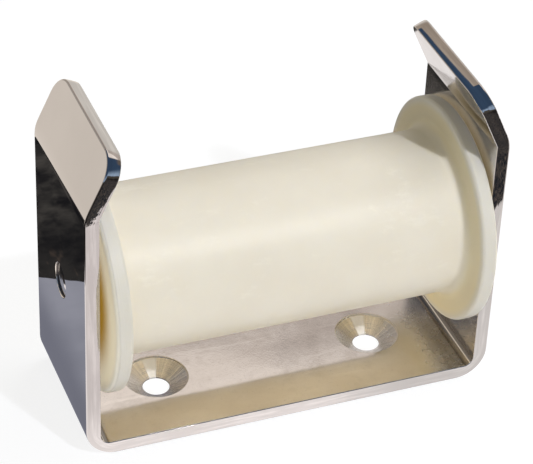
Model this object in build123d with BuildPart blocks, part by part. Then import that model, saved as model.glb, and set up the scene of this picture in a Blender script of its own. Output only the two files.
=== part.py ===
from build123d import *
from math import cos, radians, sin, tan
import os

os.makedirs("parts", exist_ok=True)

# Deck roller: a spool of natural nylon that turns on a fixed axle between the two cheeks of a
# frame bent from one stainless plate. X runs along the axle, Z is up, and the origin is the
# centre of the underside that lies on the deck. Millimetres and degrees.

# Plate and frame
plate_thickness = 5.0
frame_width = 148.0
frame_depth = 57.5
cheek_height = 98.5
edge_chamfer = 0.6

# The plate thins where it is bent, so each bend has its own radius on either face
foot_inner_radius = 3.5
foot_outer_radius = 11.0

# Flaps at the top of the cheeks, which lean in over the roller
flap_length = 22.5
flap_lean = 25.0
flap_corner_radius = 8.5
flap_inner_radius = 1.5
flap_outer_radius = 14.0

# Seats of the two deck screws, drilled deep enough to leave a short straight wall at the top
screw_spacing = 80.0
screw_hole_diameter = 9.5
seat_diameter = 22.5
seat_wall = 0.7
seat_angle = 120.0

# Axle, pressed into both cheeks, its ends a little below their outer faces
axle_diameter = 12.0
axle_height = 55.0
axle_recess = 0.8
axle_chamfer = 0.6
axle_hole_chamfer = 0.5

# Roller, one turned piece; it has slid towards the right cheek
left_gap = 2.5
right_gap = 1.0
barrel_diameter = 58.0
flange_diameter = 80.0
flange_thickness = 5.5
flange_fillet = 4.0
rim_chamfer = 1.0
bore_clearance = 0.1
bore_chamfer = 1.0

# Places worked out from the sizes above
cheek_outer = frame_width / 2
cheek_inner = cheek_outer - plate_thickness
lean = radians(flap_lean)
flap_setback = plate_thickness * tan(lean / 2)
outer_tip = (cheek_outer - flap_length * sin(lean), cheek_height + flap_length * cos(lean))
inner_tip = (outer_tip[0] - plate_thickness * cos(lean), outer_tip[1] - plate_thickness * sin(lean))
axle_length = frame_width - 2 * axle_recess
axle_line = Axis((0, 0, axle_height), (1, 0, 0))
roller_left = -cheek_inner + left_gap
roller_right = cheek_inner - right_gap


# Frame: half of the plate's edge profile, mirrored, then extruded over the depth
with BuildPart() as frame:
    with BuildSketch(Plane.XZ):
        with BuildLine():
            outside = FilletPolyline(
                (0, 0),
                (cheek_outer, 0),
                (cheek_outer, cheek_height),
                outer_tip,
                radius=(foot_outer_radius, flap_outer_radius),
            )
            inside = FilletPolyline(
                (0, plate_thickness),
                (cheek_inner, plate_thickness),
                (cheek_inner, cheek_height - flap_setback),
                inner_tip,
                radius=(foot_inner_radius, flap_inner_radius),
            )
            Line(outside @ 1, inside @ 1)
            Line(inside @ 0, outside @ 0)
        make_face()
        mirror(about=Plane.YZ)
    extrude(amount=frame_depth / 2, both=True)

    # Rounded free corners of the two flaps
    flap_ends = frame.faces().sort_by(Axis.Z)[-2:]
    flap_corners = [flap_end.edges().sort_by(SortBy.LENGTH)[:2] for flap_end in flap_ends]
    fillet(flap_corners, radius=flap_corner_radius)

    # Edges broken all round both faces of the plate. The lines across the plate's thickness and
    # the tangent lines of the bends stay as they are.
    bend_lines = frame.edges().filter_by(lambda edge: abs(edge.length - frame_depth) < 0.01)
    corner_lines = frame.edges().filter_by(GeomType.LINE).filter_by(
        lambda edge: abs(edge.length - plate_thickness) < 0.01
    )
    chamfer(frame.edges() - bend_lines - corner_lines, length=edge_chamfer)

    # Screw seats: a straight wall, a cone and a through hole
    with GridLocations(screw_spacing, 0, 2, 1):
        with Locations((0, 0, plate_thickness)):
            Hole(radius=seat_diameter / 2, depth=seat_wall)
        with Locations((0, 0, plate_thickness - seat_wall)):
            CounterSinkHole(
                radius=screw_hole_diameter / 2,
                counter_sink_radius=seat_diameter / 2,
                counter_sink_angle=seat_angle,
            )

    # Axle hole through both cheeks, chamfered at their outer faces
    with Locations(Plane(origin=(cheek_outer, 0, axle_height), z_dir=(1, 0, 0))):
        Hole(radius=axle_diameter / 2)
    hole_rims = frame.edges().filter_by(GeomType.CIRCLE).group_by(Axis.X)
    chamfer(hole_rims[0] + hole_rims[-1], length=axle_hole_chamfer)

frame.part.label = "frame"
export_step(frame.part, "parts/frame.step")


# Axle: a plain pin with chamfered ends
with BuildPart() as axle:
    with BuildSketch(Plane(origin=(-axle_length / 2, 0, axle_height), z_dir=(1, 0, 0))):
        Circle(axle_diameter / 2)
    extrude(amount=axle_length)
    chamfer(axle.edges().filter_by(GeomType.CIRCLE), length=axle_chamfer)

axle.part.label = "axle"
export_step(axle.part, "parts/axle.step")


# Roller: half of its length section, turned about the axle
with BuildPart() as roller:
    with BuildSketch(Plane(origin=(0, 0, axle_height), x_dir=(1, 0, 0), z_dir=(0, -1, 0))):
        with BuildLine():
            Polyline(
                (roller_left, axle_diameter / 2 + bore_clearance),
                (roller_left, flange_diameter / 2),
                (roller_left + flange_thickness, flange_diameter / 2),
                (roller_left + flange_thickness, barrel_diameter / 2),
                (roller_right - flange_thickness, barrel_diameter / 2),
                (roller_right - flange_thickness, flange_diameter / 2),
                (roller_right, flange_diameter / 2),
                (roller_right, axle_diameter / 2 + bore_clearance),
                close=True,
            )
        make_face()
        # Roots of the flanges first, then their rims, then the mouths of the bore
        fillet(vertices().group_by(Axis.Y)[1], radius=flange_fillet)
        chamfer(vertices().group_by(Axis.Y)[-1], length=rim_chamfer)
        chamfer(vertices().group_by(Axis.Y)[0], length=bore_chamfer)
    revolve(axis=axle_line)

roller.part.label = "roller"
export_step(roller.part, "parts/roller.step")
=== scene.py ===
# %% [markdown]
# A deck roller guides a rope, chain or net over a boat's rail. A spool of natural nylon turns on a
# steel axle between the cheeks of a frame that is bent from one plate of stainless steel and then
# polished to a mirror. The imported CAD model gives the main sizes and places; the finer sizes are
# given here. This script dresses it: it makes finer surfaces for the three pieces, gives each its
# finish, and lights them as in a small photographic studio.

import bpy
import numpy as np
from mathutils import Matrix, Vector


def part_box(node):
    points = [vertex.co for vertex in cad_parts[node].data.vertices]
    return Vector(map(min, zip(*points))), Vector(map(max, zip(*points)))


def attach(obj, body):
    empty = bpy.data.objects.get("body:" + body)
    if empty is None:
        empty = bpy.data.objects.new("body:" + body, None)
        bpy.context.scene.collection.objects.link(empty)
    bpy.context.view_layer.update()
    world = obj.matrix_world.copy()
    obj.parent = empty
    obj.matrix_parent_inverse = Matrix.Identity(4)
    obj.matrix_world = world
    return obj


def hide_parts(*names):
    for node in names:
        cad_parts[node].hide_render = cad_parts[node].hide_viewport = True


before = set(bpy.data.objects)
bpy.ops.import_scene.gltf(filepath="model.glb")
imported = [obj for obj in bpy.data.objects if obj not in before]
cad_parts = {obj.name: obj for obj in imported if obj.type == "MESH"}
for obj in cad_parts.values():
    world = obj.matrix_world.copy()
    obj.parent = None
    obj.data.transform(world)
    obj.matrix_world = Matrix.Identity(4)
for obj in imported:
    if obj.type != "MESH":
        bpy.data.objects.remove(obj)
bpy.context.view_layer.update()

MM = 0.001

# %% [markdown]
# A mirror shows every fault of a mesh, because it reflects by its normals. Most edges of this part
# are soft: the plate's bends, its polished rims, the fillets of the spool. They could be cut by
# Bevel modifiers, but then the normals beside each edge are guesses. Here each outline is one line
# of straight runs and tangent arcs, worked out by formula, and the same formula gives the exact
# side direction at every point. A mesh with those normals reflects like the true surface.


# %% Lines of straight runs and tangent arcs
def right_of(way):
    """The direction to the right of each 2D direction: (x, y) becomes (y, -x)."""
    return np.stack([way[..., 1], -way[..., 0]], axis=-1)


def rounded_line(corners, radii, arc_cells=12, marks=None, cells=None):
    """Points and side directions along a line of straight runs joined by tangent arcs.

    A corner that turns by t is replaced by an arc of radius r, which starts and ends r tan(t/2)
    from it. The arc's points are its centre plus or minus r times the side direction, while that
    direction turns evenly through t. Marks are points whose feet on a run are kept, and cells are
    the numbers of steps between them. The side direction points to the right of the way."""
    corners = np.array(corners, float)
    runs = np.diff(corners, axis=0)
    lengths = np.linalg.norm(runs, axis=1)
    ways = runs / lengths[:, None]
    headings = np.unwrap(np.arctan2(ways[:, 1], ways[:, 0]))
    turns = np.diff(headings)
    trims = np.concatenate([[0], np.array(radii) * np.tan(np.abs(turns) / 2), [0]])
    points, sides = [], []
    for k, way in enumerate(ways):
        start = corners[k] + way * trims[k]
        length = lengths[k] - trims[k] - trims[k + 1]
        feet = [(np.array(mark) - start) @ way for mark in marks[k]] if marks else []
        stops = [0, *feet, length]
        counts = cells[k] if cells else [1]
        along = np.concatenate(
            [np.linspace(a, b, n, endpoint=False) for a, b, n in zip(stops, stops[1:], counts)]
            + [[length]]
        )
        points.append(start + along[:, None] * way)
        sides.append(np.tile(right_of(way), (len(along), 1)))
        if k < len(turns):
            turn = np.linspace(0, turns[k], arc_cells + 1)[1:-1] + headings[k]
            side = right_of(np.stack([np.cos(turn), np.sin(turn)], axis=-1))
            reach = np.sign(turns[k]) * radii[k]
            centre = points[-1][-1] - reach * right_of(way)
            points.append(centre + reach * side)
            sides.append(side)
    points, sides = np.concatenate(points), np.concatenate(sides)
    # Two arcs that meet leave a run of no length between them, whose second point goes
    fresh = np.linalg.norm(np.diff(points, axis=0), axis=1) > 1e-9
    fresh = np.concatenate([[True], fresh])
    return points[fresh], sides[fresh]


# %% [markdown]
# Each piece is a skin of several patches: grids of points, worked out as whole arrays, that share
# their borders. The skin welds the borders, so the finished mesh is closed, turns each face to
# agree with its normals, and hands those normals to Blender as custom normals.


# %% A skin that collects patches and welds them
def placed(name, data):
    """A new object of the scene with that mesh, lamp or camera."""
    thing = bpy.data.objects.new(name, data)
    bpy.context.scene.collection.objects.link(thing)
    return thing


class Skin:
    """Patches of points, welded into one closed mesh with exact normals.

    A point is a row of ten numbers: its own place, its normal, then place and zone for materials."""

    WELD = 1e-6
    # Keeps round coordinates away from the limits between two weld cells
    SHIFT = 0.137

    def __init__(self):
        self.rows, self.faces, self.count = [], [], 0

    def patch(self, points, normals, place=(0, 0, 0), zone=0.0, keep=None):
        """A grid of points; keep is a mask of its cells."""
        shape = points.shape[:2]
        index = np.arange(shape[0] * shape[1]).reshape(shape) + self.count
        faces = np.stack([index[:-1, :-1], index[:-1, 1:], index[1:, 1:], index[1:, :-1]], axis=-1)
        self.faces.append(faces[keep] if keep is not None else faces.reshape(-1, 4))
        parts = [points, normals, place, np.expand_dims(zone, -1)]
        parts = [np.broadcast_to(part, (*shape, np.shape(part)[-1])) for part in parts]
        self.rows.append(np.concatenate(parts, axis=-1).reshape(-1, 10))
        self.count += index.size

    def mirrored(self):
        """Adds the mirror image of all patches in the plane x = 0."""
        flip = np.array([-1, 1, 1, -1, 1, 1, 1, 1, 1, 1])
        self.faces += [faces + self.count for faces in self.faces]
        self.rows += [rows * flip for rows in self.rows]
        self.count *= 2

    def build(self, name):
        """Welds points that share a cell of the weld lattice, and turns faces to their normals."""
        rows, faces = np.concatenate(self.rows), np.concatenate(self.faces)
        used = np.unique(faces)
        cell = np.round(rows[used, :3] / self.WELD + self.SHIFT).astype(np.int64)
        _, first, inverse = np.unique(cell, axis=0, return_index=True, return_inverse=True)
        renumber = np.zeros(len(rows), np.int64)
        renumber[used] = inverse.ravel()
        total = np.zeros((len(first), 3))
        np.add.at(total, inverse.ravel(), rows[used, 3:6])
        total /= np.linalg.norm(total, axis=1)[:, None]
        rows = rows[used][first]
        welded = rows[:, :3]
        faces = renumber[faces]
        diagonal_a = welded[faces[:, 2]] - welded[faces[:, 0]]
        diagonal_b = welded[faces[:, 3]] - welded[faces[:, 1]]
        agreement = np.einsum("ij,ij->i", np.cross(diagonal_a, diagonal_b), total[faces].sum(1))
        faces = np.where(agreement[:, None] < 0, faces[:, ::-1], faces)
        # A face with two corners at one point, as at a pole, becomes a triangle
        same = faces == np.roll(faces, -1, axis=1)
        pole = same.any(axis=1)
        kept = np.argsort(same[pole], axis=1, kind="stable")[:, :3]
        triangles = np.take_along_axis(faces[pole], np.sort(kept, axis=1), axis=1)
        mesh = bpy.data.meshes.new(name)
        mesh.from_pydata(welded, [], faces[~pole].tolist() + triangles.tolist())
        mesh.polygons.foreach_set("use_smooth", np.ones(len(mesh.polygons), bool))
        place = mesh.attributes.new("place", "FLOAT_VECTOR", "POINT")
        place.data.foreach_set("vector", rows[:, 6:9].astype(np.float32).ravel())
        zone = mesh.attributes.new("zone", "FLOAT", "POINT")
        zone.data.foreach_set("value", rows[:, 9].astype(np.float32))
        mesh.normals_split_custom_set_from_vertices(total)
        edges = np.sort(np.stack([faces, np.roll(faces, -1, axis=1)], axis=-1), axis=-1)
        edges = edges[edges[..., 0] != edges[..., 1]]
        _, uses = np.unique(edges, axis=0, return_counts=True)
        print(f"{name}: {len(welded)} points, {len(faces)} faces, {(uses != 2).sum()} open edges")
        return placed(name, mesh)


def ring_walk(centre, axis, start, profile, sides, angles):
    """A profile of (radius, height) turned about an axis.

    The point is the centre, plus the radius times a direction that turns from start about the
    axis, plus the height times the axis. The normal turns in the same way."""
    across = np.cross(axis, start)
    spoke = np.cos(angles)[:, None] * start + np.sin(angles)[:, None] * across
    points = centre + profile[:, None, :1] * spoke + profile[:, None, 1:] * axis
    return points, sides[:, None, :1] * spoke + sides[:, None, 1:] * axis


# %% [markdown]
# The spool and the axle are turned on a lathe, so each is one profile carried round the axle's
# line. Their ends and outer diameters come from the imported model, and the barrel's is given here.
# The profile adds the rims' true rounding, the root fillets and the mouths of the bore.

# %% Sizes of the spool and the axle
roller_low, roller_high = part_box("roller")
axle_low, axle_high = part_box("axle")
axle_height = (axle_low.z + axle_high.z) / 2
axle_radius = (axle_high.z - axle_low.z) / 2
flange_radius = (roller_high.z - roller_low.z) / 2
barrel_radius = 29 * MM
flange_thickness = 5.5 * MM
root_fillet = 4 * MM
rim_round = 1.3 * MM
bore_radius = axle_radius + 0.1 * MM
bore_mouth_round = 0.8 * MM
axle_end_round = 0.4 * MM
# The pin's ends are a little domed, so that they show other things than the flat cheek round them
axle_dome = 0.45 * MM
axle_dome_arc = 14 * MM
axle_dome_middle = 0.4 * axle_radius
AXLE_CENTRE = np.array([0, 0, axle_height])
X, Y, Z = np.eye(3)
turn_angles = np.linspace(0, 2 * np.pi, 257)
print(f"axle {2 * axle_radius / MM:.1f} mm across, {axle_height / MM:.1f} mm above the deck")


# %% Turn the spool
def turned_profile(left_half, radii, arc_cells, cells, low, high):
    """A line through (radius, x) corners and their images about the middle between low and high."""
    right_half = [(radius, low + high - x) for radius, x in left_half[::-1]]
    radii, cells = radii + radii[::-1], cells + cells[-2::-1]
    return rounded_line(left_half + right_half, radii, arc_cells, cells=[[n] for n in cells])


def make_spool():
    """The half section, walked so that the nylon lies on its left, then turned about the axle."""
    left, right = roller_low.x, roller_high.x
    left_half = [
        (bore_radius, (left + right) / 2),
        (bore_radius, left),
        (flange_radius, left),
        (flange_radius, left + flange_thickness),
        (barrel_radius, left + flange_thickness),
    ]
    radii = [bore_mouth_round, rim_round, rim_round, root_fillet]
    line, sides = turned_profile(left_half, radii, 10, [8, 10, 3, 3, 40], left, right)
    skin = Skin()
    skin.patch(*ring_walk(AXLE_CENTRE, X, Y, line, sides, turn_angles))
    return skin.build("nylon_spool")


spool = make_spool()
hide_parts("roller")
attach(spool, "roller")


# %% Turn the axle
def make_axle():
    """Half a length section of the pin, from the middle of one end to the middle of the other.

    Each dome is a flat middle and a slope to the rim, joined by a wide arc."""
    left, right = axle_low.x, axle_high.x
    left_half = [(0, left - axle_dome), (axle_dome_middle, left - axle_dome), (axle_radius, left)]
    radii = [axle_dome_arc, axle_end_round]
    line, sides = turned_profile(left_half, radii, 8, [4, 8, 40], left, right)
    skin = Skin()
    skin.patch(*ring_walk(AXLE_CENTRE, X, Y, line, sides, turn_angles[::2]))
    return skin.build("axle_pin")


pin = make_axle()
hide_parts("axle")
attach(pin, "frame")

# %% [markdown]
# The frame is one plate, 5 mm thick, bent four times. Its outer and inner faces are two lines seen
# from the front, and the plate is thinner at the bends, so the two lines have radii of their own.
# Only the right half is worked out; the left half is its mirror image.

# %% Sizes of the plate
_, frame_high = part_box("frame")
half_width = frame_high.x
half_depth = frame_high.y
plate = 5 * MM
cheek_height = 98.5 * MM
flap_length = 22.5 * MM
flap_lean = np.radians(25)
flap_corner = 8.5 * MM
outer_radii = [11 * MM, 14 * MM]
inner_radii = [3.5 * MM, 1.5 * MM]
# The sheared edge was ground by hand: slightly crowned, and rounder towards the outer face
outer_edge_round = 0.7 * MM
inner_edge_round = 0.35 * MM
edge_crown = np.radians(4)
crown_height = (plate - outer_edge_round - inner_edge_round) * np.tan(edge_crown) / 4
flap_way = np.array([-np.sin(flap_lean), np.cos(flap_lean)])
screw_x = 40 * MM
screw_hole_radius = 4.75 * MM
seat_radius = 11.25 * MM
seat_wall = 0.7 * MM
seat_depth = seat_wall + (seat_radius - screw_hole_radius) / np.tan(np.radians(60))
wall_foot_round = 0.12 * MM
cone_foot_round = 0.15 * MM
hole_edge_round = 0.25 * MM
axle_edge_round = 0.35 * MM
# The plate's finishes: buffed outside, as rolled inside, machined in the seats, bored for the axle
BUFFED, ROLLED, MACHINED, BORED = 0.0, 1.0, 2.0, 3.0
# Each hole sits in a square patch of the faces, this far out from its centre
patch_reach = 16 * MM
# Cells of the faces' grid: across a square, beside it, and along the bent line from run to run
PATCH_CELLS = 24
SIDE_CELLS = 9
BASE_CELLS, FOOT_CELLS = 12, 5
LOW_CHEEK_CELLS, HIGH_CHEEK_CELLS = 10, 8
BEND_CELLS = 20
FLAP_CELLS = 6
# The first rows of the two squares: after the base's first run, and after the foot's bend
SCREW_ROW = BASE_CELLS
AXLE_ROW = SCREW_ROW + PATCH_CELLS + FOOT_CELLS + BEND_CELLS + LOW_CHEEK_CELLS
# A hole's rings: their spokes start at the first corner of its square
RING_CELLS = 8
hole_angles = np.linspace(0, 2 * np.pi, 4 * PATCH_CELLS + 1) - 3 * np.pi / 4
# Cells across the rim's rounded edges and across its crown
ROUNDING_CELLS = 7
CROWN_CELLS = 9
print(f"plate {2 * half_width / MM:.0f} mm wide, {2 * half_depth / MM:.1f} mm deep")

# %% [markdown]
# Both faces are grids over the same stations: rows follow the bent line, columns run across the
# depth. The flap's rounded corners narrow the last rows along a circle. The squares round the holes
# are left out of the grid and filled with rings that pass from the square's border to the circle.


# %% Faces of the plate
# The angles at which a flap's rounded corner is cut into rows
corner_turn = np.linspace(0, np.pi / 2, 15)


def face_stations(cheek_x, floor_z, tip, radii):
    """One face's bent line, from the middle of the base to where the flap's corners start."""
    bend_z = cheek_height - (half_width - cheek_x) * np.tan(flap_lean / 2)
    corners = [(0, floor_z), (cheek_x, floor_z), (cheek_x, bend_z), tip - flap_way * flap_corner]
    marks = [
        [(screw_x - patch_reach, 0), (screw_x + patch_reach, 0)],
        [(0, axle_height - patch_reach), (0, axle_height + patch_reach)],
        [],
    ]
    cells = [
        [BASE_CELLS, PATCH_CELLS, FOOT_CELLS],
        [LOW_CHEEK_CELLS, PATCH_CELLS, HIGH_CHEEK_CELLS],
        [FLAP_CELLS],
    ]
    return rounded_line(corners, radii, BEND_CELLS, marks, cells)


def lifted(flat):
    """Points or directions of the front view, (x, z), as (x, 0, z)."""
    return np.stack([flat[..., 0], np.zeros(flat.shape[:-1]), flat[..., 1]], axis=-1)


def across_depth(half):
    """Places of a row's points across the depth, from -half to half, the square's in the middle."""
    share = np.linspace(0, 1, SIDE_CELLS + 1)[:-1]
    outwards = half + (patch_reach - half) * share
    middle = np.linspace(-patch_reach, patch_reach, PATCH_CELLS + 1)
    middle = np.broadcast_to(middle, outwards.shape[:-1] + middle.shape)
    return np.concatenate([-outwards, middle, outwards[..., ::-1]], axis=-1)


def face_grid(line, sides, inset):
    """Rows are the stations, then the rows of the rounded corners, inset to where the edge begins."""
    reach = flap_corner - inset
    turn = corner_turn[1:]
    rows = np.concatenate([line, line[-1] + reach * np.sin(turn)[:, None] * flap_way])
    normals = np.concatenate([sides, np.tile(sides[-1], (len(turn), 1))])
    half = np.full(len(rows), half_depth - inset)
    half[len(line):] = half_depth - flap_corner + reach * np.cos(turn)
    points = lifted(rows)[:, None, :] + across_depth(half[:, None])[..., None] * Y
    return points, np.broadcast_to(lifted(normals)[:, None, :], points.shape)


# %% Rings round a hole
def square_to_circle(skin, points, normal, zone, first_row, centre, radius, way):
    """Rings between a square block of a face's grid and a circle about the block's middle.

    A ring point is the circle's point times one share plus the border's point times the rest."""
    rows = slice(first_row, first_row + PATCH_CELLS + 1)
    block = points[rows, SIDE_CELLS:SIDE_CELLS + PATCH_CELLS + 1]
    border = np.concatenate(
        [block[:-1, 0], block[-1, :-1], block[:0:-1, -1], block[0, :0:-1], block[:1, 0]]
    )
    spokes = np.cos(hole_angles)[:, None] * way + np.sin(hole_angles)[:, None] * Y
    circle = centre + radius * spokes
    share = np.linspace(0, 1, RING_CELLS + 1)[:, None, None]
    skin.patch(circle * (1 - share) + border * share, normal, zone=zone)


# %% Outline of the rim
def rim_outline(line, sides, tip):
    """The outline of one face in the right half, from the back edge round the flap to the front.

    Gives points, the face's normals and the outward directions in the plate's own plane."""
    turn = corner_turn[1:]
    spread = np.sin(turn)[:, None] * lifted(flap_way) + np.cos(turn)[:, None] * Y
    hub = lifted(line[-1]) + (half_depth - flap_corner) * Y
    back = np.concatenate([lifted(line) + half_depth * Y, hub + flap_corner * spread])
    back_way = np.concatenate([np.tile(Y, (len(line), 1)), spread])
    back_side = np.concatenate([lifted(sides), np.tile(lifted(sides[-1]), (len(turn), 1))])
    end_y = across_depth(half_depth - flap_corner)[-2:0:-1]
    end = lifted(tip) + end_y[:, None] * Y
    flip = np.array([1.0, -1.0, 1.0])
    points = np.concatenate([back, end, (back * flip)[::-1]])
    ways = np.concatenate([back_way, np.tile(lifted(flap_way), (len(end), 1)), (back_way * flip)[::-1]])
    normals = np.concatenate([back_side, np.tile(back_side[-1], (len(end), 1)), back_side[::-1]])
    return points, normals, ways


# %% Rounded and crowned edge
def edge_inset(radius):
    """How far in from its outline a face ends, where a rounding of that radius begins."""
    return radius * np.cos(edge_crown) + crown_height


def rim_strip(skin, outer, inner):
    """The plate's polished edge: a rounding at each face and a crowned strip between them.

    The rounding at angle a lies (sin a - cos c) times its radius, less the crown's height, along
    the outward direction, where c is the crown's slope at its ends, and (cos a - 1) times the
    radius along the face's normal. The crown is a parabola over the strip between the two."""
    (outer_points, outer_normals, ways), (inner_points, inner_normals, _) = outer, inner
    angle = np.linspace(0, np.pi / 2 - edge_crown, ROUNDING_CELLS + 1)[:, None, None]
    roundings = []
    for points, normals, radius in (
        (outer_points, outer_normals, outer_edge_round),
        (inner_points, inner_normals, inner_edge_round),
    ):
        outwards = (np.sin(angle) - np.cos(edge_crown)) * radius - crown_height
        offset = outwards * ways + (np.cos(angle) - 1) * radius * normals
        roundings.append((points + offset, np.sin(angle) * ways + np.cos(angle) * normals))
    share = np.linspace(0, 1, CROWN_CELLS + 1)[1:-1, None, None]
    swing = 2 * share - 1
    crown = roundings[0][0][-1] * (1 - share) + roundings[1][0][-1] * share
    crown = crown + crown_height * (1 - swing**2) * ways
    tilt = np.tan(edge_crown) * np.abs(swing)
    crown_normals = ways + tilt * np.where(swing < 0, outer_normals, inner_normals)
    crown_normals /= np.linalg.norm(crown_normals, axis=-1, keepdims=True)
    points = np.concatenate([roundings[0][0], crown, roundings[1][0][::-1]])
    normals = np.concatenate([roundings[0][1], crown_normals, roundings[1][1][::-1]])
    steps = np.linalg.norm(np.diff(outer_points, axis=0), axis=1)
    run = np.concatenate([[0], np.cumsum(steps)])
    across = np.linalg.norm(points - points[0], axis=-1)
    facing = np.concatenate([np.sin(angle), np.ones_like(share), np.sin(angle)[::-1]])[..., 0]
    facing = np.broadcast_to(facing, across.shape)
    place = np.stack([np.broadcast_to(run, across.shape), across, facing], axis=-1)
    # The wheel reached the whole edge; the mill's finish begins on the inner rounding
    zone = np.full((len(points), 1), BUFFED)
    zone[-len(angle):, 0] = np.linspace(BUFFED, ROLLED, len(angle))
    skin.patch(points, normals, place, zone)


# %% [markdown]
# The screw seats were drilled a little deep, so each has a short straight wall above its cone. A
# seat is a profile turned about the screw's line, from the top face down to the underside.


# %% Rings that the drill left
ring_pitch = 0.42 * MM
ring_depth = 0.006 * MM


def drill_rings(line, sides):
    """Ripples on the cone: the line moves out by the depth times the sine of its way down.

    The side direction turns by the ripple's slope, which is the cosine times 2 pi depth / pitch.
    A slower sine makes the ripples uneven, so some rings are deeper than others."""
    on_cone = (line[:, 0] > screw_hole_radius + 0.2 * MM) & (line[:, 0] < seat_radius - 0.15 * MM)
    phase = 2 * np.pi * line[:, 0] / ring_pitch
    uneven = 0.6 + 0.4 * np.sin(phase / 3.7)
    ripple = np.where(on_cone, ring_depth * uneven, 0)[:, None]
    slope = ripple * np.cos(phase)[:, None] * 2 * np.pi / ring_pitch
    forward = np.stack([-sides[:, 1], sides[:, 0]], axis=-1)
    turned = sides + slope * forward
    turned /= np.linalg.norm(turned, axis=1)[:, None]
    return line + ripple * np.sin(phase)[:, None] * sides, turned


# %% One face with its two holes
def add_face(skin, line, side, zone, edge_round, screw_circle, axle_circle):
    """One face of the right half, with rings that end at circles round the two holes."""
    points, normals = face_grid(line, side, edge_inset(edge_round))
    keep = np.ones((points.shape[0] - 1, points.shape[1] - 1), bool)
    for row in (SCREW_ROW, AXLE_ROW):
        keep[row:row + PATCH_CELLS, SIDE_CELLS:SIDE_CELLS + PATCH_CELLS] = False
    skin.patch(points, normals, zone=zone, keep=keep)
    screw_centre = np.array([screw_x, 0, points[SCREW_ROW, 0, 2]])
    axle_centre = np.array([points[AXLE_ROW, 0, 0], 0, axle_height])
    for row, centre, radius, way in (
        (SCREW_ROW, screw_centre, screw_circle, X),
        (AXLE_ROW, axle_centre, axle_circle, Z),
    ):
        square_to_circle(skin, points, normals[row, 0], zone, row, centre, radius, way)


# %% Screw seat and axle hole
def add_screw_seat(skin):
    """A straight wall, a cone and the through hole, down from the plate's top face."""
    seat = [
        (seat_radius + hole_edge_round, 0),
        (seat_radius, 0),
        (seat_radius, -seat_wall),
        (screw_hole_radius, -seat_depth),
        (screw_hole_radius, -plate),
        (screw_hole_radius + hole_edge_round, -plate),
    ]
    radii = [hole_edge_round, wall_foot_round, cone_foot_round, hole_edge_round]
    line, sides = rounded_line(seat, radii, 6, cells=[[1], [2], [160], [2], [1]])
    line, sides = drill_rings(line, sides)
    top = np.array([screw_x, 0, plate])
    skin.patch(*ring_walk(top, Z, X, line, sides, hole_angles), zone=MACHINED)


def add_axle_hole(skin):
    """The axle's hole, in from the cheek's outer face. Below its bright rim, the bore has painted
    shade.
    """
    hole = [
        (axle_radius + axle_edge_round, 0),
        (axle_radius, 0),
        (axle_radius, -plate),
        (axle_radius + hole_edge_round, -plate),
    ]
    line, sides = rounded_line(hole, [axle_edge_round, hole_edge_round], 6, cells=[[1], [6], [1]])
    top = np.array([half_width, 0, axle_height])
    zone = np.where(line[:, 1] < -0.9 * axle_edge_round, BORED, MACHINED)[:, None]
    skin.patch(*ring_walk(top, X, Z, line, sides, -hole_angles), zone=zone)


# %% Put the plate together
def make_frame():
    """The right half of the plate, then its mirror image."""
    skin = Skin()
    outer_tip = np.array([half_width, cheek_height]) + flap_length * flap_way
    inner_tip = outer_tip - plate * right_of(flap_way)
    outer_line, outer_side = face_stations(half_width, 0, outer_tip, outer_radii)
    inner_line, inner_side = face_stations(half_width - plate, plate, inner_tip, inner_radii)
    inner_side = -inner_side
    outer_circles = (screw_hole_radius + hole_edge_round, axle_radius + axle_edge_round)
    inner_circles = (seat_radius + hole_edge_round, axle_radius + hole_edge_round)
    add_face(skin, outer_line, outer_side, BUFFED, outer_edge_round, *outer_circles)
    add_face(skin, inner_line, inner_side, ROLLED, inner_edge_round, *inner_circles)
    rim_strip(
        skin,
        rim_outline(outer_line, outer_side, outer_tip),
        rim_outline(inner_line, inner_side, inner_tip),
    )
    add_screw_seat(skin)
    add_axle_hole(skin)
    skin.mirrored()
    return skin.build("bent_plate")


bent_plate = make_frame()
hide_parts("frame")
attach(bent_plate, "frame")

# %% [markdown]
# Shader maths reads best as ordinary arithmetic. The class below wraps one socket of a node tree,
# so that an expression such as 1 - mask * 0.5 adds the Math nodes by itself.


# %% Sockets as values
def feed(node, **inputs):
    """Sets or links a node's inputs, given by name, or by number as _0, _1 and so on.

    A colour is written (r, g, b), and gets its alpha of 1 here."""
    for name, value in inputs.items():
        socket = node.inputs[int(name[1:]) if name[1:].isdigit() else name.replace("_", " ")]
        if isinstance(value, Value):
            value.tree.links.new(value.socket, socket)
        else:
            socket.default_value = (*value, 1) if socket.type == "RGBA" else value


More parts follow.
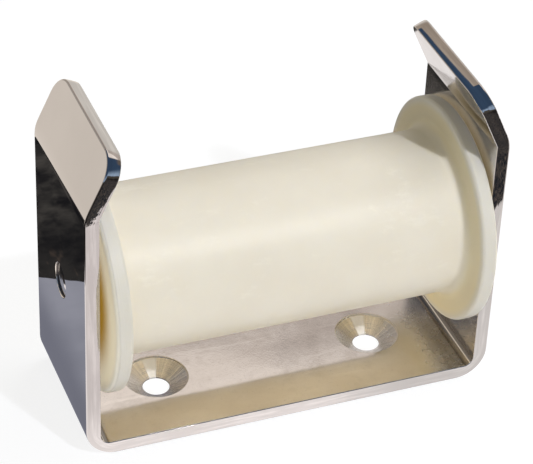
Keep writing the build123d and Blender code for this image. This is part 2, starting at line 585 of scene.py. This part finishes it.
class Value:
    """A socket of a node tree; arithmetic on it adds Math nodes."""

    def __init__(self, tree, socket):
        self.tree, self.socket = tree, socket

    def node(self, kind, settings=None, output=0, **inputs):
        """Adds a node of that type, sets and feeds it, and gives one of its outputs."""
        made = self.tree.nodes.new(kind)
        for name, value in (settings or {}).items():
            setattr(made, name, value)
        feed(made, **inputs)
        return Value(self.tree, made.outputs[output])

    def maths(self, operation, *others, kind="ShaderNodeMath", output=0):
        values = {f"_{k}": value for k, value in enumerate((self, *others))}
        return self.node(kind, {"operation": operation}, output, **values)

    def vector_maths(self, operation, *others, output="Vector"):
        """Maths on vectors; the output Value holds a length, a distance or a dot product."""
        return self.maths(operation, *others, kind="ShaderNodeVectorMath", output=output)

    def __add__(self, other):
        return self.maths("ADD", other)

    def __sub__(self, other):
        return self.maths("SUBTRACT", other)

    def __mul__(self, other):
        return self.maths("MULTIPLY", other)

    def __rsub__(self, other):
        return (self * -1).maths("ADD", other)

    __radd__ = __add__
    __rmul__ = __mul__

    def ramp(self, low, high):
        """0 below low, 1 above high, and a smooth step between them."""
        settings = {"interpolation_type": "SMOOTHSTEP"}
        return self.node("ShaderNodeMapRange", settings, Value=self, From_Min=low, From_Max=high)

    def mix_colour(self, low, high):
        """The low colour where this is 0, the high one where it is 1."""
        return self.node("ShaderNodeMix", {"data_type": "RGBA"}, 2, _0=self, _6=low, _7=high)


def finish_tree(name):
    """A new material; gives it, its node tree's first value (Object coordinates) and its shader."""
    material = bpy.data.materials.new(name)
    material.use_nodes = True
    tree = material.node_tree
    place = tree.nodes.new("ShaderNodeTexCoord").outputs["Object"]
    return material, Value(tree, place), tree.nodes["Principled BSDF"]


# %% Noise, layers and reliefs
def grain(place, scale, detail=2.0, roughness=0.5, stretch=(1, 1, 1)):
    """Cloudy noise from 0 to 1 over the place, with that many cells to the metre along each axis."""
    stretched = place.node("ShaderNodeMapping", Vector=place, Scale=stretch)
    amounts = {"Scale": scale, "Detail": detail, "Roughness": roughness}
    return place.node("ShaderNodeTexNoise", Vector=stretched, **amounts)


def grain_along(distance, scale, detail):
    """The same noise along one distance."""
    settings = {"noise_dimensions": "1D"}
    return distance.node("ShaderNodeTexNoise", settings, W=distance, Scale=scale, Detail=detail)


def layered(colour, *layers):
    """A colour with others laid over it in turn; each layer is a mask and its colour."""
    for mask, over in layers:
        colour = mask.mix_colour(colour, over)
    return colour


def relief(*layers):
    """The normal of reliefs on one another; each is a height from 0 to 1 and its depth in metres."""
    normal = {}
    for height, depth in layers:
        bump = height.node("ShaderNodeBump", Height=height, Distance=depth, Strength=1.0, **normal)
        normal = {"Normal": bump}
    return bump


def split(value):
    """The x, y and z of a vector."""
    first = value.node("ShaderNodeSeparateXYZ", Vector=value)
    return [Value(value.tree, socket) for socket in first.socket.node.outputs]


def joined(x, y, z):
    """A vector of three values, of which the first is a socket."""
    return x.node("ShaderNodeCombineXYZ", X=x, Y=y, Z=z)


def attribute(place, name, output="Vector"):
    """A vector, or with the output Fac a number, that the mesh carries at each point."""
    return place.node("ShaderNodeAttribute", {"attribute_name": name}, output)


# %% [markdown]
# Mirror-polished stainless steel is hardly a colour at all: it shows the room. What tells it from a
# perfect mirror is that a buffed plate is never quite flat, so straight reflections waver, and that
# its sheared edges were only brushed and buffed by hand, which leaves them uneven along the way.
# The wheel hardly reached inside the frame: there the plate keeps the dull shine of the rolling
# mill, cloudy and streaked, with painted shade and a painted highlight in its two bends. The screw
# seats keep their drill's marks, and have a painted highlight and a painted reflection as well.
# It could be several materials, but the marks run into each other, so it is one with masks.


# %% Marks on the plate
class PlateMarks:
    """Places, and masks and patterns from 0 to 1, that colour, roughness and relief share."""

    def __init__(self, place):
        self.place = place
        self.x, self.y, self.z = split(place)
        zone = attribute(place, "zone", "Fac")
        self.inside = zone.ramp(0.35, 0.65)
        self.machined = zone.ramp(1.3, 1.7)
        self.bored = zone.ramp(2.3, 2.7)
        # Brush marks run along the rim: stretched along it and fine across it
        run, across, self.facing = split(attribute(place, "place"))
        edge_place = joined(run * 40, across * 500, 0.0)
        self.brushed = grain(edge_place, 1.0, 3.0, 0.6) * self.facing
        self.clouds = grain(place, 38.0, 3.0)
        self.streaks = grain(place, 60.0, 4.0, 0.6, (0.6, 1.0, 1.0))
        self.smudges = grain(place, 85.0, 4.0, 0.65)
        self.scratches = grain(place, 190.0, 3.0, 0.6, (0.12, 1.0, 1.0))
        self.pits = grain(place, 1500.0, 3.0, 0.6)
        self.mark_seats()
        self.mark_bends()

    def mark_seats(self):
        """Marks by the direction and the distance from the nearer screw's line.

        Chatter makes spokes and the feed makes rings. A patch at the back, where the sun's glint
        falls, is rougher and painted white: a painted highlight."""
        spoke = joined(self.x - self.x.maths("SIGN") * screw_x, self.y, 0.0)
        around = spoke.vector_maths("NORMALIZE")
        apart = spoke.vector_maths("LENGTH", output="Value")
        self.cone = self.machined * (1 - self.bored)
        self.wall = apart.ramp(seat_radius - 0.25 * MM, seat_radius - 0.1 * MM) * self.machined
        self.chatter = grain(around, 9.0, 4.0, 0.7)
        self.feed_marks = grain_along(apart, 5000.0, 1.0)
        backward = around.vector_maths("DOT_PRODUCT", (0.08, 0.997, 0), output="Value")
        # Where the sun's glint falls in each seat: rougher, and painted white as a painted highlight
        self.painted_glint_patch = self.cone * backward.ramp(0.957, 0.985)

    def mark_bends(self):
        """Painted shade in and near the inner bends, and a painted highlight along each bend's line.

        Across such a bend, |x| - z goes from 60.5 mm at both ends to 61.95 mm in the middle."""
        sideways = self.x.maths("ABSOLUTE")
        near_bend = sideways.ramp(64 * MM, 70 * MM) * self.z.ramp(10 * MM, 6 * MM)
        in_bend = (sideways - self.z).ramp(60.6 * MM, 61.2 * MM) * self.z.ramp(9 * MM, 8 * MM)
        # Painted shade, in blotches near each inner bend and all along it
        self.painted_bend_shade = (near_bend * self.smudges.ramp(0.2, 0.5)).maths("MAXIMUM", in_bend)
        # A painted highlight along the middle of each bend
        self.painted_bend_glint = in_bend * (sideways - self.z).ramp(61.93 * MM, 61.946 * MM)


# %% Colour of the plate
def plate_colour(marks):
    """Bright where buffed, dull and stained inside; painted light and shade in bends, seats and holes.
    """
    bright = layered(
        marks.clouds.ramp(0.3, 0.7).mix_colour((0.585, 0.565, 0.55), (0.615, 0.595, 0.58)),
        (marks.brushed.ramp(0.42, 0.72) * 0.8, (0.76, 0.74, 0.72)),
        (marks.pits.ramp(0.64, 0.74) * 0.12, (0.36, 0.34, 0.32)),
    )
    dull = layered(
        marks.streaks.ramp(0.3, 0.7).mix_colour((0.60, 0.57, 0.54), (0.67, 0.645, 0.62)),
        (marks.smudges.ramp(0.52, 0.72) * 0.5, (0.50, 0.47, 0.44)),
        (marks.scratches.ramp(0.58, 0.78) * 0.5, (0.78, 0.76, 0.73)),
        (marks.pits.ramp(0.60, 0.72) * 0.4, (0.36, 0.34, 0.32)),
        (marks.cone * marks.chatter.ramp(0.40, 0.66) * 0.6, (0.95, 0.92, 0.86)),
        # Painted highlight: the glint patch is painted white
        (marks.painted_glint_patch, (1.0, 1.0, 1.0)),
        # Painted reflection: the seat's wall is painted light tan, the colour of the nylon above it
        (marks.wall * 0.8, (0.88, 0.82, 0.72)),
        # Painted shade in and near the inner bends, and a painted highlight along each bend's line
        (marks.painted_bend_shade * 0.78, (0.16, 0.135, 0.11)),
        (marks.painted_bend_glint, (1.0, 0.95, 0.86)),
    )
    # Painted shade: the axle's bore is painted dark
    return layered(bright, (marks.inside, dull), (marks.bored, (0.22, 0.20, 0.19)))


# %% Roughness of the plate
def plate_roughness(marks):
    """Little where it is buffed, more inside and in the seats.

    The right end of the base is scoured and the right cheek rubbed, but the wheel did reach the
    inner faces of the flaps."""
    x, z = marks.x, marks.z
    haze = grain(marks.place, 420.0, 4.0, 0.6)
    scoured = x.ramp(36 * MM, 56 * MM) * x.ramp(70 * MM, 66 * MM)
    rubbed = x.ramp(68 * MM, 69 * MM) * z.ramp(30 * MM, 60 * MM) * z.ramp(97 * MM, 94 * MM)
    reached = z.ramp(84 * MM, 94 * MM) * 0.85
    buffed = 0.02 + haze.ramp(0.45, 0.75) * 0.03 + marks.facing * 0.012
    milled = 0.03 + marks.streaks.ramp(0.35, 0.75) * 0.035 + scoured * 0.20
    cut = marks.machined * 0.05 + marks.wall * 0.15 + marks.bored * 0.2 + marks.painted_glint_patch * 0.45
    return buffed + marks.inside * (milled * (1 - reached) + rubbed * 0.16) + cut


# %% Relief of the plate
def plate_relief(marks):
    """The plate's waves, the mill's pits, the drill's marks, then brush marks and dents on the rim.

    The flaps' ends were brushed more finely. The rim beside a flap is dented, the right one most."""
    at_flap_end = marks.z.ramp(111 * MM, 115 * MM)
    beside_flap = marks.y.maths("ABSOLUTE").ramp(26.5 * MM, 28.2 * MM)
    beside_flap = beside_flap * marks.z.ramp(93 * MM, 100 * MM)
    mostly_right = marks.x.ramp(0.0, 10 * MM) * 0.8 + 0.2
    dents = grain(marks.place, 330.0, 2.0) * marks.facing
    return relief(
        (grain(marks.place, 32.0, 1.0), 0.12 * MM),
        (marks.pits * marks.inside, 0.005 * MM),
        (marks.chatter * marks.machined, 0.15 * MM),
        (marks.feed_marks * marks.machined, 0.08 * MM),
        (marks.brushed * (1 - at_flap_end * 0.85), 0.05 * MM),
        (dents * (beside_flap * mostly_right), 0.2 * MM),
    )


# %% Polished steel
def polished_steel():
    material, place, shader = finish_tree("mirror_polished_steel")
    marks = PlateMarks(place)
    feed(shader, Metallic=1.0, Base_Color=plate_colour(marks))
    feed(shader, Roughness=plate_roughness(marks), Normal=plate_relief(marks))
    return material


# %% [markdown]
# Natural nylon is ivory and lets light in a little way, so its shadows are warm. A turning tool
# leaves fine rings on it: along the barrel they are lines round it, on the flanges' faces they are
# circles. Both are noise along one distance, the way along the axle plus the way out from it.
#
# Sunlight also comes through the flanges and fills the gap at the left cheek with gold. Scattering
# that reaches so far needs too many samples, so the spool's two end faces glow a little instead.


# %% Marks of the lathe
def lathe_place(place):
    """The two distances that a turning tool sees: along the axle and out from it."""
    along, _, _ = split(place)
    flat = place.vector_maths("MULTIPLY", (0, 1, 1))
    return along, flat.vector_maths("DISTANCE", (0, 0, axle_height), output="Value")


def turned_rings(along, out, scale, detail=2.0):
    """Noise along the tool's way, so lines run round the barrel and circles round the faces."""
    return grain_along(along + out * 1.3, scale, detail)


# %% Natural nylon
def end_glow(left, out):
    """Light through a flange, by the way out: strong at the left end, weak at the right one."""
    strong = out.ramp(22 * MM, 34 * MM).mix_colour((0.18, 0.095, 0.0), (0.38, 0.35, 0.275))
    strong = out.ramp(35 * MM, 39 * MM).mix_colour(strong, (0.22, 0.21, 0.18))
    weak = out.ramp(30 * MM, 39 * MM).mix_colour((0.05, 0.042, 0.024), (0.24, 0.205, 0.14))
    return left.mix_colour(weak, strong)


def natural_nylon():
    """Palest on the barrel, ridged on the rims; painted warm shade on the flanges and their end faces.
    """
    material, place, shader = finish_tree("natural_nylon")
    along, out = lathe_place(place)
    middle = (roller_low.x + roller_high.x) / 2
    half_length = (roller_high.x - roller_low.x) / 2
    from_middle = (along - middle).maths("ABSOLUTE")
    # Masks for painted warm shade: on the flanges, and deeper on their end faces
    painted_flange_shade = out.ramp(barrel_radius - 0.3 * MM, barrel_radius + 2.5 * MM)
    on_rim = out.ramp(flange_radius - 4.0 * MM, flange_radius - 0.3 * MM)
    at_end = from_middle.ramp(half_length - 0.9 * MM, half_length - 0.1 * MM)
    painted_end_shade = at_end * (1 - out.ramp(flange_radius - 5.0 * MM, flange_radius - 0.5 * MM))
    clouds = grain(place, 45.0, 3.0)
    scuffs = grain(place, 110.0, 5.0, 0.7, (0.5, 1.0, 1.0))
    colour = layered(
        clouds.ramp(0.25, 0.75).mix_colour((0.79, 0.754, 0.685), (0.82, 0.789, 0.725)),
        (scuffs.ramp(0.56, 0.72), (0.85, 0.82, 0.755)),
        # Painted warm shade: the flanges are painted yellower and their end faces a deeper gold
        (painted_flange_shade, (0.76, 0.70, 0.525)),
        (on_rim, (0.70, 0.69, 0.66)),
        (painted_end_shade, (0.58, 0.50, 0.32)),
    )
    rings = turned_rings(along, out, 1600.0)
    outermost = out.ramp(flange_radius - 1.5 * MM, flange_radius - 0.5 * MM)
    ridges = turned_rings(along, out, 2300.0, 1.0) * outermost
    glow = end_glow(along.ramp(middle, middle - 1 * MM), out)
    feed(
        shader,
        Base_Color=colour,
        Roughness=0.36 + clouds * 0.06 + rings * 0.06,
        Normal=relief(
            (grain(place, 260.0, 2.0), 0.01 * MM),
            (rings, 0.012 * MM),
            (ridges, 0.04 * MM),
        ),
        Specular_IOR_Level=0.5,
        Subsurface_Weight=0.35,
        Subsurface_Radius=(1.0, 0.78, 0.35),
        Subsurface_Scale=6 * MM,
        Emission_Color=at_end.mix_colour((0, 0, 0), glow),
        Emission_Strength=1.0,
    )
    shader.subsurface_method = "BURLEY"
    return material


# %% Turned steel
def turned_steel():
    """Bar stock as the lathe left it: rings along the pin and circles on its ends."""
    material, place, shader = finish_tree("turned_steel")
    rings = turned_rings(*lathe_place(place), 2600.0, 3.0)
    colour = rings.ramp(0.3, 0.7).mix_colour((0.54, 0.525, 0.51), (0.62, 0.605, 0.59))
    feed(
        shader,
        Metallic=1.0,
        Base_Color=colour,
        Roughness=0.05 + grain(place, 500.0) * 0.08,
        Normal=relief((rings, 0.001 * MM)),
    )
    return material


bent_plate.data.materials.append(polished_steel())
spool.data.materials.append(natural_nylon())
pin.data.materials.append(turned_steel())
print("finishes:", [m.name for m in bpy.data.materials])

# %% [markdown]
# The camera stands where the photographer's did: to the left of the roller and above it, with a
# long lens. Its place is kept as angles about a point on the roller's axle line.

# %% Camera
aim = Vector((-0.7 * MM, 0, 58.7 * MM))
view_azimuth, view_elevation, view_roll = np.radians([-22.16, 35.66, 2.593])
view_distance = 0.779
along_ground = np.cos(view_elevation)
back_x, back_y = np.sin(view_azimuth) * along_ground, -np.cos(view_azimuth) * along_ground
back = Vector((back_x, back_y, np.sin(view_elevation)))
lens = bpy.data.cameras.new("camera")
lens.lens = 153.7
lens.sensor_width = 36.0
camera = placed("camera", lens)
turned_to_aim = (-back).to_track_quat("-Z", "Y").to_matrix().to_4x4()
camera.matrix_world = (
    Matrix.Translation(aim + back * view_distance) @ turned_to_aim @ Matrix.Rotation(view_roll, 4, "Z")
)
bpy.context.scene.camera = camera
print("camera at", [round(x, 4) for x in camera.matrix_world.translation])

# %% [markdown]
# The floor is a plain pale sheet. Seen directly, in the steel or through glass, it is white with
# the roller's soft shadow on it, and the world behind it is white as well, so there is no horizon.
# Most of that white is a glow, a little stronger farther away, which only those rays find: what
# the floor throws back on the part is the light of an ordinary pale sheet.


# %% Floor and world
def background_rays(tree):
    """1 for rays that see the background: from the camera, from a gloss or through glass."""
    path = tree.nodes.new("ShaderNodeLightPath")
    rays = ("Is Camera Ray", "Is Glossy Ray", "Is Transmission Ray")
    camera_ray, glossy, through = (Value(tree, path.outputs[ray]) for ray in rays)
    return (camera_ray + glossy + through).maths("MINIMUM", 1.0)


ambient = (0.30, 0.275, 0.20)
floor_reach = 3.0


def make_floor():
    mesh = bpy.data.meshes.new("floor")
    corners = np.array([(-1, -1, 0), (1, -1, 0), (1, 1, 0), (-1, 1, 0)]) * floor_reach
    mesh.from_pydata(corners.tolist(), [], [(0, 1, 2, 3)])
    floor = placed("floor", mesh)
    material, place, shader = finish_tree("pale_floor")
    seen = background_rays(material.node_tree)
    away = place.vector_maths("LENGTH", output="Value").ramp(0.25, 0.9)
    glow = away.mix_colour((0.82, 0.82, 0.82), (0.95, 0.945, 0.94))
    feed(shader, Roughness=0.9, Specular_IOR_Level=0.0, Emission_Strength=1.0)
    feed(shader, Base_Color=seen.mix_colour((0.82, 0.82, 0.82), (0.24, 0.25, 0.28)))
    feed(shader, Emission_Color=seen.mix_colour((0, 0, 0), glow))
    mesh.materials.append(material)


make_floor()
world = bpy.data.worlds.new("studio")
world.use_nodes = True
bpy.context.scene.world = world
surroundings = background_rays(world.node_tree).mix_colour(ambient, (1, 1, 1))
feed(world.node_tree.nodes["Background"], Color=surroundings, Strength=1.0)

# %% [markdown]
# Polished metal in an all-white room looks like paper. Photographers stand cards round it, so that
# its reflections have darks. These cards only show in reflections: a sheet of white paper that the
# roller stands on, a dark table top round the paper, and a pale floor beyond it. The table's far
# edge is cut aslant, because it shows as the slanting line under the left flap.


# %% Cards that only reflections see
def only_in_reflections(card):
    for ray in ("camera", "diffuse", "transmission", "volume_scatter", "shadow"):
        setattr(card, f"visible_{ray}", False)


def flat_card(name, corners, height, material):
    """A level card with the given corners, (x, y) in millimetres."""
    mesh = bpy.data.meshes.new(name)
    mesh.from_pydata([(x * MM, y * MM, height) for x, y in corners], [], [range(len(corners))])
    mesh.materials.append(material)
    only_in_reflections(placed(name, mesh))


def glowing(name, paint):
    """A black matt material that shows only its Emission Color, which paint gives for the place."""
    material, place, shader = finish_tree(name)
    feed(shader, Base_Color=(0, 0, 0), Roughness=0.9, Specular_IOR_Level=0.0)
    feed(shader, Emission_Color=paint(place), Emission_Strength=1.0)
    return material


# %% Table and paper
def table_colour(place):
    """Dark wood: soft clouds on near black, brown smears, and small sharp shards in front."""
    x, y, _ = split(place)
    clouds = grain(place, 45.0, 4.0, 0.6).ramp(0.40, 0.70) * (0.3 + y.ramp(0.085, 0.125) * 0.7)
    shards = grain(place, 300.0, 2.0, 0.6).ramp(0.50, 0.60)
    front = y.ramp(-0.08, -0.12) * x.ramp(-0.14, -0.11) * x.ramp(0.24, 0.20)
    dark = clouds.mix_colour((0.011, 0.011, 0.013), (0.095, 0.088, 0.080))
    broken = shards.mix_colour((0.014, 0.018, 0.026), (0.17, 0.14, 0.115))
    smears = grain(place, 150.0, 3.0, 0.6, (1.0, 0.3, 1.0)).ramp(0.56, 0.68) * y.ramp(0.10, 0.07)
    dark = smears.mix_colour(dark, (0.13, 0.095, 0.075))
    return front.mix_colour(dark, broken)


def paper_colour(place):
    """White paper, as the steel sees it: bluish in the roller's shade and warm where it is lit.

    The shade ends in front at the roller, on the left at x = -103 mm, and between the two along
    the line that the sun draws from the left cheek's front edge. It is deeper from x = -80 mm on,
    close to the roller, and the paper on the right is lit."""
    x, y, _ = split(place)
    blotches = grain(place, 30.0, 3.0, 0.6).ramp(0.35, 0.65)
    shade = blotches.mix_colour((0.31, 0.32, 0.385), (0.37, 0.38, 0.45))
    shade = x.ramp(-0.090, -0.080).mix_colour(shade, (0.22, 0.228, 0.285))
    lit = y.ramp(-0.06, -0.03).mix_colour((0.94, 0.87, 0.865), (1.25, 1.18, 1.17))
    in_sun = y.ramp(-0.02, -0.026) + x.ramp(-0.102, -0.105) + (y + x * 2.52).ramp(-0.2145, -0.2165)
    colour = in_sun.maths("MINIMUM", 1.0).mix_colour(shade, lit)
    return x.ramp(0.0, 0.05).mix_colour(colour, (0.94, 0.90, 0.89))


# %% Lay the cards
# Each lies a little above the one before
far = 2590
front_corners = [(-far, -far), (far, -far)]
far_corners = [*front_corners, (far, far), (-far, far)]
far_finish = glowing("far_floor", lambda place: (0.90, 0.82, 0.74))
flat_card("far_floor_card", far_corners, 0.1 * MM, far_finish)
table_edge = [(far, 430), (310, 430), (-40, 187), (-178, 147), (-178, 90), (-far, 90)]
table_finish = glowing("dark_table", table_colour)
flat_card("dark_table_card", front_corners + table_edge, 0.2 * MM, table_finish)
paper_corners = [(-170, -189), (420, -52), (420, 342), (-170, 30)]
flat_card("paper_card", paper_corners, 0.4 * MM, glowing("white_paper", paper_colour))

# %% [markdown]
# The upper parts of the steel show what stands round the photographer: a wall behind the roller and
# the sky in front. A picture of a real room would do, but it would have to come from a file, so the
# inside of half a sphere is painted by direction.


# %% Colours of the room
room_radius = 2.6


def room_colour(place):
    """The colour in each direction (x, y, z) from the roller.

    Behind, a light wall turns browner upwards. It is mottled just below z = 0.645 - 0.06 x, and
    above that line is a brighter band. To the left the wall is brown, then a slanting gap shows
    dark blue sky, and low beyond the gap all is brown again. In front the ground's edge is dark,
    the sky above it goes from light to dark blue, and the far right is brown."""
    x, y, z = (axis * (1 / room_radius) for axis in split(place))
    blobs = grain(place, 9.0, 3.0, 0.6)
    navy = (0.045, 0.08, 0.145)
    wall = z.ramp(0.35, 0.50).mix_colour((0.79, 0.75, 0.70), (0.61, 0.535, 0.49))
    band_edge = z + x * 0.06 + blobs * 0.012
    mottle = grain(place, 24.0, 3.0, 0.6).ramp(0.46, 0.60) * band_edge.ramp(0.6348, 0.6448) * 0.85
    wall = mottle.mix_colour(wall, (0.36, 0.345, 0.36))
    band = band_edge.ramp(0.6453, 0.6533).mix_colour(wall, (1.15, 1.045, 0.97))
    brown = blobs.ramp(0.3, 0.7).mix_colour((0.40, 0.33, 0.27), (0.50, 0.42, 0.35))
    behind = x.ramp(0.0, 0.20).mix_colour(brown, band)
    gap = (z * 0.91 - x + blobs * 0.004).ramp(0.731, 0.735)
    behind = gap.mix_colour(behind, navy)
    left = blobs.ramp(0.35, 0.60).mix_colour((0.30, 0.27, 0.24), (0.60, 0.55, 0.50))
    behind = (x.ramp(-0.235, -0.265) * z.ramp(0.62, 0.56)).mix_colour(behind, left)
    sky = z.ramp(0.20, 0.48).mix_colour((0.36, 0.48, 0.66), navy)
    front = z.ramp(0.12, 0.16).mix_colour((0.08, 0.07, 0.06), sky)
    front = (x.ramp(0.76, 0.82) * y.ramp(-0.30, -0.20)).mix_colour(front, (0.17, 0.14, 0.12))
    return y.ramp(0.05, 0.15).mix_colour(front, behind)


# %% Room that only reflections see
def make_room():
    """A quarter circle turned about the roller's vertical, with normals inwards."""
    arc = np.linspace(0, np.pi / 2, 33)
    profile = room_radius * np.stack([np.cos(arc), np.sin(arc)], axis=-1)
    skin = Skin()
    circle = np.linspace(0, 2 * np.pi, 97)
    skin.patch(*ring_walk(np.zeros(3), Z, X, profile, -profile / room_radius, circle))
    room = skin.build("room")
    room.data.materials.append(glowing("studio_room", room_colour))
    only_in_reflections(room)


make_room()

# %% [markdown]
# One small lamp is the sun, in front on the right, and two large ones are the light of the sky.
# The steel sees its cards in place of these three. It does see a fourth lamp, smaller still and in
# the sun's direction, which makes the glints.


# %% Lamps
def lamp(name, way, distance, size, level):
    """A round soft lamp; its level is how bright it makes white paper that faces it at the part."""
    light = bpy.data.lights.new(name, "AREA")
    light.shape = "DISK"
    light.size = size
    # A disc of radius r and radiance L has the energy pi^2 r^2 L, and at the distance d it gives
    # white paper the radiance L r^2 / (r^2 + d^2), which is the level
    light.energy = np.pi**2 * level * ((size / 2) ** 2 + distance**2)
    holder = placed(name, light)
    way = Vector(way).normalized()
    holder.location = aim + way * distance
    holder.rotation_euler = way.to_track_quat("Z", "Y").to_euler()
    return holder


sun_way = (0.235, -0.650, 0.722)
key = lamp("key_lamp", sun_way, 1.6, 0.15, 0.20)
fill = lamp("fill_lamp", (-0.30, -0.92, 0.12), 1.8, 1.4, 0.15)
overhead = lamp("overhead_lamp", (0.45, 0.30, 0.85), 2.2, 1.2, 0.27)
for soft in (key, fill, overhead):
    soft.visible_glossy = False
lamp("glint_lamp", sun_way, 1.6, 0.05, 0.28)

# %% [markdown]
# The bright base throws the lamp's light up under the spool. A path tracer finds such light only by
# luck, so a small lamp that lies on the base and can't be seen stands for it.

# %% Light from the base
bounce = bpy.data.lights.new("base_bounce", "AREA")
bounce.shape = "RECTANGLE"
bounce.size, bounce.size_y = 2 * (half_width - 12 * MM), 2 * half_depth
bounce.color = (1.0, 0.82, 0.52)
bounce_level = 0.8
bounce.energy = bounce_level * np.pi * bounce.size * bounce.size_y
holder = placed("base_bounce", bounce)
holder.location = (0, 0, plate + 1 * MM)
holder.rotation_euler = (np.pi, 0, 0)
for ray in ("camera", "glossy", "transmission"):
    setattr(holder, f"visible_{ray}", False)

# %% Standard view, end
bpy.context.scene.view_settings.view_transform = "Standard"
